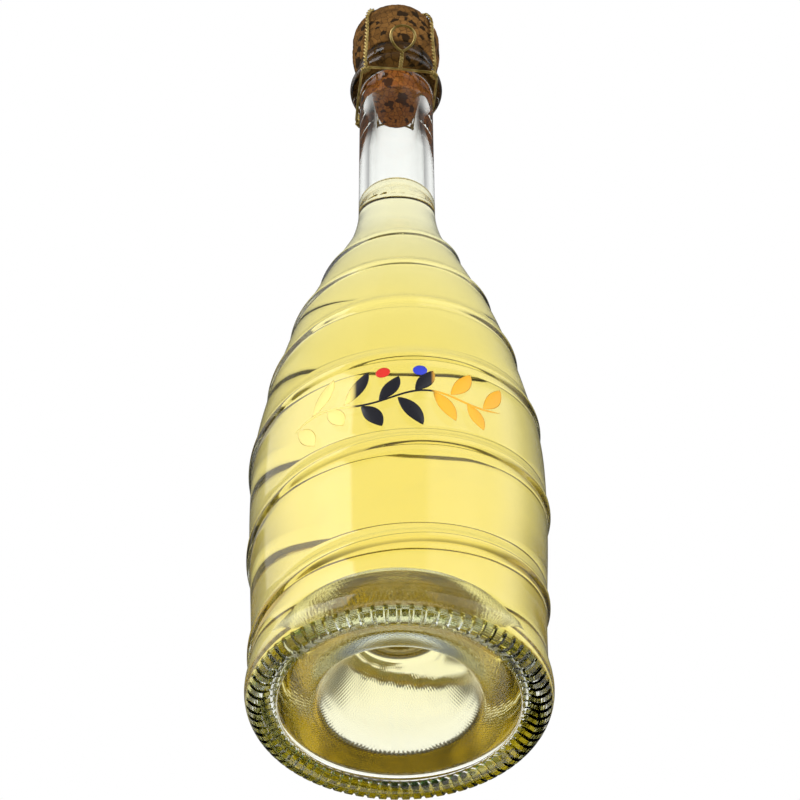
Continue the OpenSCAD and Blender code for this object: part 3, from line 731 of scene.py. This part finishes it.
GRANULES = granules_group()


def cork_material(name, size, blotch, light, middle, dark, stretch=(1, 1, 1)):
    """Matt cork with its granules or pores at a given size, drawn out along an axis by stretch."""
    material, add, *_ = shader_tree(name)
    place = add("ShaderNodeTexCoord").outputs["Object"]
    place = add("ShaderNodeMapping", {"Vector": place, "Scale": stretch})
    cork = add("ShaderNodeGroup", {
        "Vector": place, "Size": size, "Blotch": blotch, "Light": light, "Middle": middle, "Dark": dark,
    }, node_tree=GRANULES)
    bump = add("ShaderNodeBump", {
        "Height": cork.outputs["Height"], "Strength": 0.8, "Distance": 0.15 * MM,
    })
    skin = add("ShaderNodeBsdfPrincipled", {
        "Base Color": cork.outputs["Color"], "Roughness": 0.85, "Normal": bump,
        "Specular IOR Level": 0.12,
    })
    add("ShaderNodeOutputMaterial", {"Surface": skin})
    return material


pressed_cork = cork_material(
    "pressed_cork", 2.2 * MM, 0.52,
    light=(0.21, 0.10, 0.026, 1), middle=(0.10, 0.046, 0.011, 1), dark=(0.018, 0.011, 0.005, 1),
)
cork = cork_skin().piece("cork_body_pressed", "cork", [pressed_cork])
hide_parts("cork_body")

# Two discs of natural cork, cut from the bark and glued to the wine end of the body. The wine
# has stained them a reddish brown.
natural_cork = cork_material(
    "natural_cork", 1.7 * MM, 0.58,
    light=(0.64, 0.22, 0.05, 1), middle=(0.46, 0.14, 0.03, 1), dark=(0.07, 0.028, 0.012, 1),
    stretch=(1, 1, 0.5),
)


def disc_skin(low, seed):
    """A disc with softly broken edges, turned round the axis, its end faces and rim a little rough."""
    high, edge = low + DISC_T, 0.45
    outline = np.concatenate([
        [[r, low] for r in (2, 4, 6, 7.6)],
        arc((TIGHT_R - edge, low + edge), (edge, edge), -90, 0, 4),
        [[TIGHT_R, low + DISC_T * share] for share in (0.25, 0.5, 0.75)],
        [[TIGHT_R, high - 0.15], [TIGHT_R - 0.15, high]],
        [[r, high] for r in (6, 3)],
    ])
    count = 96
    a = np.arange(count)[None, :] * 360 / count
    r, z = outline[:, :1], outline[:, 1:]
    place = ring_points(a, r, z) / MM
    face = 0.12 * grain(place, 2.6, seed) * (z < low + 0.4) * (r < SHANK_R - 0.3)
    chips = 0.35 * np.clip(grain(place, 3.1, seed + 1) - 0.5, 0, 1)
    chips = chips * smooth(1 - (z - low) / 1.2) * smooth((r - 6) / 2)
    return Skin().close(ring_points(a, r - chips, z + np.maximum(face, 0)), low, high)


for level, name in ((1, "cork_disc_upper"), (0, "cork_disc_lower")):
    disc = disc_skin(SHANK_LOW + level * DISC_T, 11 + level).piece(name + "_cut", "cork", [natural_cork])
    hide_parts(name)

# Cap: a disc pressed from thin sheet and lacquered, with a flat rim under the crown ring, a step
# and a low swell in the middle. It keeps the wire from cutting into the cork.
CAP_T, CAP_ROLL_R = 0.35, 0.17
CAP_STEP_H, CAP_SWELL_R, CAP_SWELL_H = 0.46, 10, 1.2
CAP_DIMPLE_R, CAP_DIMPLE_Z, CAP_DIMPLE_H = 4.4, 0.93, 0.2


def cap_skin():
    """The cap's outline turned round the axis: under face, rolled edge, rim, step, swell and dimple.
    Swell and dimple each rise by one less the square of the radius over their own."""
    top = HEAD_TOP + CAP_T
    swell_r, dimple_r = np.linspace(9.2, 5.4, 6), np.array([3.4, 2.4, 1.2])
    swell = CAP_STEP_H + (CAP_SWELL_H - CAP_STEP_H) * (1 - (swell_r / CAP_SWELL_R) ** 2)
    dimple = CAP_DIMPLE_Z + CAP_DIMPLE_H * (1 - (dimple_r / CAP_DIMPLE_R) ** 2)
    step = [[11.3, 0], [11.0, 0.06], [10.75, 0.32], [10.45, 0.42], [CAP_SWELL_R, CAP_STEP_H]]
    ledge = [[5.0, 0.88], [4.7, 0.86], [CAP_DIMPLE_R, CAP_DIMPLE_Z]]
    above = [step, np.stack([swell_r, swell], -1), ledge, np.stack([dimple_r, dimple], -1)]
    under = [[r, HEAD_TOP] for r in (4, 8, 11.6)]
    roll = arc((CAP_EDGE_R - CAP_ROLL_R, HEAD_TOP + CAP_T / 2), (CAP_ROLL_R, CAP_T / 2), -90, 90, 7)
    outline = np.concatenate([under, roll, np.concatenate(above) + [0, top]])
    return Skin().close(turned(outline, 144), HEAD_TOP, top + CAP_DIMPLE_Z + CAP_DIMPLE_H)


def cap_material():
    """Dark green lacquer with a gold ring and gold centre, under a clear coat of uneven polish."""
    material, add, _, span = shader_tree("lacquered_cap")
    place = add("ShaderNodeTexCoord").outputs["Object"]
    flat = add("ShaderNodeVectorMath", {0: place, 1: (1, 1, 0)}, operation="MULTIPLY")
    radius = add("ShaderNodeVectorMath", {0: flat}, operation="LENGTH").outputs["Value"]
    rings = add("ShaderNodeValToRGB", {0: span(radius, 0, 12.3 * MM)})
    ramp = rings.color_ramp
    ramp.interpolation = "CONSTANT"
    gold, green = (0.62, 0.43, 0.13, 1), (0.012, 0.03, 0.016, 1)
    ramp.elements[0].color = gold
    ramp.elements[1].position, ramp.elements[1].color = 0.39, green
    for position, color in ((0.80, gold), (0.90, green)):
        ramp.elements.new(position).color = color
    dust = add("ShaderNodeTexNoise", {"Vector": place, "Scale": 900.0, "Detail": 4.0})
    rough = span(dust, 0, 1, 0.2, 0.45)
    skin = add("ShaderNodeBsdfPrincipled", {
        "Base Color": rings, "Roughness": rough, "Metallic": 0.6,
        "Coat Weight": 0.6, "Coat Roughness": 0.12,
    })
    add("ShaderNodeOutputMaterial", {"Surface": skin})
    return material


cap = cap_skin().piece("plaque_pressed", "hood", [cap_material()])
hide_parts("plaque")

# Wire hood. Soft iron wire with a gold lacquer: a crown ring on the cap, four legs of two wires
# twisted together, and a belt under the collar round which the legs' ends are wound.
WIRE_R, STRAND_R, WIRE_GAP = 0.5, 0.375, 0.05
CROWN_R, CROWN_Z = 11.76, 326.25
BELT_Z = 285.0
LEG_R_HEAD, LEG_R_COLLAR, FOOT_RING_R = 17.0, 17.95, 17.575
LEG_PITCH, WRAP_TURNS = 4.4, 3
WRAP_R = WIRE_R + STRAND_R + 2 * WIRE_GAP
WRAP_PITCH = 2 * STRAND_R + WIRE_GAP


def unit(v):
    """Each vector over its own length."""
    return v / np.linalg.norm(v, axis=-1, keepdims=True)


def frame_along(path, up, closed=False):
    """Two directions square to a path: its tangent crossed with up, and that crossed with it."""
    if closed:
        ahead = unit(np.roll(path, -1, 0) - np.roll(path, 1, 0))
    else:
        ahead = unit(np.gradient(path, axis=0))
    side = unit(np.cross(ahead, up))
    return side, np.cross(side, ahead)


def add_wire(skin, path, radius, up, sides=10, closed=False):
    """A round wire carried along a path: a circle of points set square to each point of it."""
    side, over = frame_along(path, up, closed)
    a = np.arange(sides) * 2 * np.pi / sides
    ring = np.cos(a)[None, :, None] * side[:, None] + np.sin(a)[None, :, None] * over[:, None]
    rows = skin.lay((path[:, None] + radius * ring) * MM)
    if closed:
        skin.weave(np.concatenate([rows, rows[:1]]))
        return
    skin.weave(rows)
    for row, end, before in ((rows[0], path[0], path[1]), (rows[-1], path[-1], path[-2])):
        skin.fan(row, (end + 0.5 * radius * unit(end - before)) * MM)


def add_twisted_pair(skin, path, up, pitch, phase=0.0):
    """Two strands wound about a path: each runs at a small distance from it, half a turn apart."""
    side, over = frame_along(path, up)
    steps = np.linalg.norm(np.diff(path, axis=0), axis=1)
    turn = 2 * np.pi * np.concatenate([[0], np.cumsum(steps)]) / pitch + math.radians(phase)
    for half in (0, np.pi):
        offset = np.cos(turn + half)[:, None] * side + np.sin(turn + half)[:, None] * over
        add_wire(skin, path + (STRAND_R + WIRE_GAP / 2) * offset, STRAND_R, up)


def even_path(points, step):
    """The cubic through some points, in even steps along the way from one to the next."""
    points = np.asarray(points, float)
    reach = np.concatenate([[0], np.cumsum(np.linalg.norm(np.diff(points, axis=0), axis=1))])
    at = np.linspace(0, reach[-1], int(reach[-1] / step) + 1)
    return cubic_through(reach, points, np.gradient(points, reach, axis=0), at)


def about_axis(points, angle):
    """Points turned about the bottle's axis by an angle in degrees."""
    c, s = math.cos(math.radians(angle)), math.sin(math.radians(angle))
    x, y, z = np.moveaxis(np.asarray(points, float), -1, 0)
    return np.stack([x * c - y * s, x * s + y * c, z], -1)


def wire_material():
    """Gold lacquer over drawn iron: metal with a fine drawn grain, dulled and browned in patches."""
    material, add, _, span = shader_tree("gold_wire")
    place = add("ShaderNodeTexCoord").outputs["Object"]
    patches = add("ShaderNodeTexNoise", {"Vector": place, "Scale": 260.0, "Detail": 3.0})
    tone = add("ShaderNodeValToRGB", {0: patches})
    brown, bright = tone.color_ramp.elements
    brown.position, brown.color = 0.35, (0.36, 0.25, 0.06, 1)
    bright.position, bright.color = 0.62, (0.74, 0.56, 0.20, 1)
    rough = span(patches, 0, 1, 0.42, 0.24)
    fine = add("ShaderNodeTexNoise", {"Vector": place, "Scale": 3500.0, "Detail": 2.0})
    bump = add("ShaderNodeBump", {"Height": fine, "Strength": 0.25, "Distance": 0.05 * MM})
    skin = add("ShaderNodeBsdfPrincipled", {
        "Base Color": tone, "Roughness": rough, "Metallic": 0.85, "Normal": bump,
    })
    add("ShaderNodeOutputMaterial", {"Surface": skin})
    return material


gold_wire = wire_material()


def wire_piece(skin, name, body, node):
    """A finished piece of gold wire, which takes the place of its CAD node."""
    piece = skin.piece(name, body, [gold_wire])
    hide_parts(node)


def circle(radius, z, count):
    """Points round a level circle about the axis."""
    a = np.arange(count) * 2 * np.pi / count
    return np.stack([radius * np.cos(a), radius * np.sin(a), np.full(count, z)], -1)


crown = Skin()
add_wire(crown, circle(CROWN_R, CROWN_Z, 120), WIRE_R, (0, 0, 1), 12, closed=True)
wire_piece(crown, "crown_ring_wire", "hood", "crown_ring")

LEG_ROUTE = [
    (12.15, CROWN_Z + 0.1), (12.95, 326.15), (14.4, 325.1), (15.8, 322.6), (16.7, 319.8),
    (LEG_R_HEAD, 317), (LEG_R_HEAD, 311.5), (17.25, 305), (17.6, 299),
    (LEG_R_COLLAR, 293.5), (LEG_R_COLLAR, 290.2), (FOOT_RING_R, 286.5),
]
for name, angle in zip(("front_right", "back_right", "back_left", "front_left"), LEG_ANGLES):
    leg = Skin()
    route = even_path([(r, 0, z) for r, z in LEG_ROUTE], 0.3)
    add_twisted_pair(leg, about_axis(route, angle), about_axis((0, 1, 0), angle), LEG_PITCH, phase=90)
    wire_piece(leg, "leg_" + name + "_twisted", "hood", "leg_" + name)

feet = Skin()
for angle in LEG_ANGLES:
    t = np.linspace(-0.12, WRAP_TURNS, 76)
    winding = np.stack([
        FOOT_RING_R + WRAP_R * np.sin(2 * np.pi * t), (t - WRAP_TURNS / 2) * WRAP_PITCH,
        BELT_Z + WRAP_R * np.cos(2 * np.pi * t),
    ], -1)
    add_wire(feet, about_axis(winding, angle), STRAND_R, about_axis((0, 1, 0), angle))
wire_piece(feet, "leg_feet_wound", "hood", "leg_feet")

# Belt: it hugs the neck between the legs and runs out straight to each foot. Its two ends are
# twisted together at the front into the root on which the twist loop folds.
BELT_HUG_R = NECK_R + WIRE_R + WIRE_GAP
LOOP_ANGLE, LOOP_LEAN, FOLD_R, FOLD_BALL_R = 6.5, 30, 18.4, 0.8
TWIST_PITCH = 2.25
ROOT_END = FOLD_R - FOLD_BALL_R - WIRE_GAP


def belt_route(count=720):
    """Radius by angle from the nearest leg: a flat at the foot, a straight run that meets the
    hugging circle at a tangent, then that circle; the corners are then evened out."""
    flat = WRAP_TURNS / 2 * WRAP_PITCH + WIRE_R
    corner = math.degrees(math.atan2(flat, FOOT_RING_R))
    hug = corner + math.degrees(math.acos(BELT_HUG_R / math.hypot(FOOT_RING_R, flat)))
    a = np.arange(count) * 360 / count
    d = np.abs((a - LEG_ANGLES[0] + 45) % 90 - 45)
    at_foot = FOOT_RING_R / np.cos(np.radians(d))
    straight = BELT_HUG_R / np.cos(np.radians(np.clip(hug - d, 0, 89)))
    r = np.where(d <= corner, at_foot, np.where(d < hug, straight, BELT_HUG_R))
    t = np.radians(a)
    path = np.stack([r * np.cos(t), r * np.sin(t), np.full(count, BELT_Z)], -1)
    reach = 5
    return sum(np.roll(path, k, 0) for k in range(-reach, reach + 1)) / (2 * reach + 1)


belt = Skin()
add_wire(belt, belt_route(), WIRE_R, (0, 0, 1), 10, closed=True)
root = even_path([(0, -BELT_HUG_R + 0.2, BELT_Z), (0, -ROOT_END, BELT_Z)], 0.12)
add_twisted_pair(belt, about_axis(root, LOOP_ANGLE), (0, 0, 1), TWIST_PITCH)
wire_piece(belt, "belt_wire", "hood", "belt")

# Twist loop: the stem folds down on the root and turns back up to fold flat on the collar, and
# the finger eye above it turns about the stem to open the hood.
STEM_L, EYE_W, EYE_L = 2.6, 11.2, 11.0
KNUCKLE_R, KNUCKLE_WIRE_R = 0.42, 0.36


def at_fold(points):
    """From the loop's own frame, its stem along +Z, to its place on the root and its lean."""
    c, s = math.cos(math.radians(LOOP_LEAN)), math.sin(math.radians(LOOP_LEAN))
    x, y, z = np.moveaxis(np.asarray(points, float), -1, 0)
    leant = np.stack([x, y * c - z * s - FOLD_R, y * s + z * c + BELT_Z], -1)
    return about_axis(leant, LOOP_ANGLE)


def way_at_fold(way):
    """A direction in the loop's own frame, turned as the loop is."""
    return at_fold(way) - at_fold((0, 0, 0))


stem = Skin()
t = np.linspace(0, 2, 41)
knuckle = KNUCKLE_R * np.stack([t - 1, np.sin(2 * np.pi * t), -np.cos(2 * np.pi * t)], -1)
across = way_at_fold((1, 0, 0))
add_wire(stem, at_fold(knuckle), KNUCKLE_WIRE_R, across)
shaft = even_path([(0, 0, 0.3), (0, 0, STEM_L)], 0.12)
add_twisted_pair(stem, at_fold(shaft), across, TWIST_PITCH)
wire_piece(stem, "loop_stem_twisted", "stem", "loop_stem")

eye = Skin()
t = np.arange(96) * 2 * np.pi / 96
drop = np.stack([
    (EYE_W - 2 * WIRE_R) / 2 * np.sin(t) * np.sqrt(np.abs(np.sin(t / 2))), 0 * t,
    STEM_L + WIRE_R + WIRE_GAP + (EYE_L - 2 * WIRE_R) / 2 * (1 - np.cos(t)),
], -1)
add_wire(eye, at_fold(drop), WIRE_R, way_at_fold((0, 1, 0)), closed=True)
wire_piece(eye, "twist_loop_eye", "loop", "twist_loop")

# Stage: a pale floor that the bottle stands on, which lets the camera look up through it from
# below, soft lamps, and a white surround with darker sides for glass and metal to show.
FLOOR_HALF = 3.0
FLOOR_PAINT = (0.9, 0.9, 0.9, 1)
FLOOR_GLOW_SHARE = 0.6


def floor_material():
    """Pale matt paint, made paler by a glow that only the camera sees. From below it is clear."""
    material, add, calc, _ = shader_tree("pale_floor")
    paint = add("ShaderNodeBsdfDiffuse", {"Color": FLOOR_PAINT})
    glow = add("ShaderNodeEmission", {"Color": (1, 1, 1, 1), "Strength": 1.0})
    share = calc("MULTIPLY", add("ShaderNodeLightPath").outputs["Is Camera Ray"], FLOOR_GLOW_SHARE)
    pale = add("ShaderNodeMixShader", {0: share, 1: paint, 2: glow})
    clear = add("ShaderNodeBsdfTransparent")
    back = add("ShaderNodeNewGeometry").outputs["Backfacing"]
    mix = add("ShaderNodeMixShader", {0: back, 1: pale, 2: clear})
    add("ShaderNodeOutputMaterial", {"Surface": mix})
    return material


def make_floor():
    """A square in the plane z = 0, out of sight of the glass and casting no shadow."""
    mesh = bpy.data.meshes.new("floor")
    corners = [(x * FLOOR_HALF, y * FLOOR_HALF, 0) for x, y in ((-1, -1), (1, -1), (1, 1), (-1, 1))]
    mesh.from_pydata(corners, [], [(0, 1, 2, 3)])
    mesh.materials.append(floor_material())
    floor = bpy.data.objects.new("floor", mesh)
    bpy.context.scene.collection.objects.link(floor)
    floor.visible_transmission = False
    floor.visible_glossy = False
    floor.visible_shadow = False


make_floor()


def lamp(name, place, target, size, power):
    """A square soft lamp turned to its target. It lights matt skins, but is seen by no ray."""
    data = bpy.data.lights.new(name, "AREA")
    data.energy = power
    data.size = size
    light = bpy.data.objects.new(name, data)
    bpy.context.scene.collection.objects.link(light)
    light.location = place
    light.rotation_euler = (Vector(target) - Vector(place)).to_track_quat("-Z", "Y").to_euler()
    light.visible_camera = False
    light.visible_glossy = False
    light.visible_transmission = False


lamp("key_left", (-0.9, -0.9, 0.1), (0, 0, 0.2), 0.7, 7)
lamp("fill_right", (0.9, -0.7, 0.5), (0, 0, 0.25), 0.7, 5)
lamp("low_front", (0.2, -0.8, -0.5), (0, 0, 0.26), 0.6, 5)
lamp("top_back", (0.2, 0.7, 1.2), (0, 0, 0.2), 0.8, 8)


def make_world():
    """White to the camera. Clear pieces see a bright field behind the bottle that greys to both
    sides and is cut off high up, a dim field in front, and a faint level ring all round. Polished
    skins see a panel on each side, the brighter on the left. Matt ones see an even grey."""
    world = bpy.data.worlds.new("surround")
    bpy.context.scene.world = world
    world.use_nodes = True
    world.node_tree.nodes.clear()
    add, calc, span = node_makers(world.node_tree)

    def ramp(angle, low, high, from_level, to_level):
        """Eases from one level to another between two angles in degrees."""
        return span(angle, low, high, from_level, to_level, interpolation_type="SMOOTHSTEP")

    def times(a, b):
        return calc("MULTIPLY", a, b)

    def plus(a, b):
        return calc("ADD", a, b)

    way = add("ShaderNodeTexCoord").outputs["Generated"]
    xyz = add("ShaderNodeSeparateXYZ", {0: way}).outputs
    turn = times(calc("ARCTAN2", xyz[0], xyz[1]), 180 / math.pi)
    aside = calc("ABSOLUTE", turn)
    rise = times(calc("ARCSINE", xyz[2]), 180 / math.pi)
    field = times(ramp(aside, 26, 72, 1.2, 0.42), ramp(aside, 80, 112, 1.0, 0.3))
    field = times(field, ramp(rise, 66, 80, 1.0, 0.3))
    front = plus(ramp(rise, 12, 24, 0, 0.5), ramp(rise, 44, 56, 0, -0.38))
    field = plus(field, times(ramp(aside, 100, 125, 0, 1), front))
    level_ring = plus(ramp(rise, -45, -25, 0.03, 0.45), ramp(rise, -4, 12, 0.0, -0.42))
    clear = times(calc("MAXIMUM", field, level_ring), ramp(rise, 54, 62, 1, 0.1))
    left = times(ramp(turn, -147, -143, 0, 2.6), ramp(turn, -140, -58, 1, 0.3))
    left = times(left, ramp(turn, -60, -54, 1, 0))
    right = times(ramp(turn, 60, 90, 0, 0.9), ramp(turn, 154, 162, 1, 0))
    panels = times(plus(left, right), times(ramp(rise, 8, 20, 0, 1), ramp(rise, 48, 52, 1, 0.04)))
    polished = plus(panels, ramp(rise, -12, 12, 0.0, 0.1))
    path = add("ShaderNodeLightPath").outputs
    seen_by = {"Is Glossy Ray": polished, "Is Transmission Ray": clear, "Is Camera Ray": 1.0}
    level = 0.55
    for ray, seen in seen_by.items():
        level = add("ShaderNodeMix", {"Factor": path[ray], "A": level, "B": seen})
    back = add("ShaderNodeBackground", {"Color": (1, 1, 1, 1), "Strength": level})
    add("ShaderNodeOutputWorld", {"Surface": back})


make_world()

scene = bpy.context.scene
scene.view_settings.view_transform = "Standard"
scene.cycles.max_bounces = 28
scene.cycles.transmission_bounces = 28
scene.cycles.glossy_bounces = 12
scene.cycles.transparent_max_bounces = 24
scene.cycles.caustics_reflective = False
scene.cycles.caustics_refractive = False
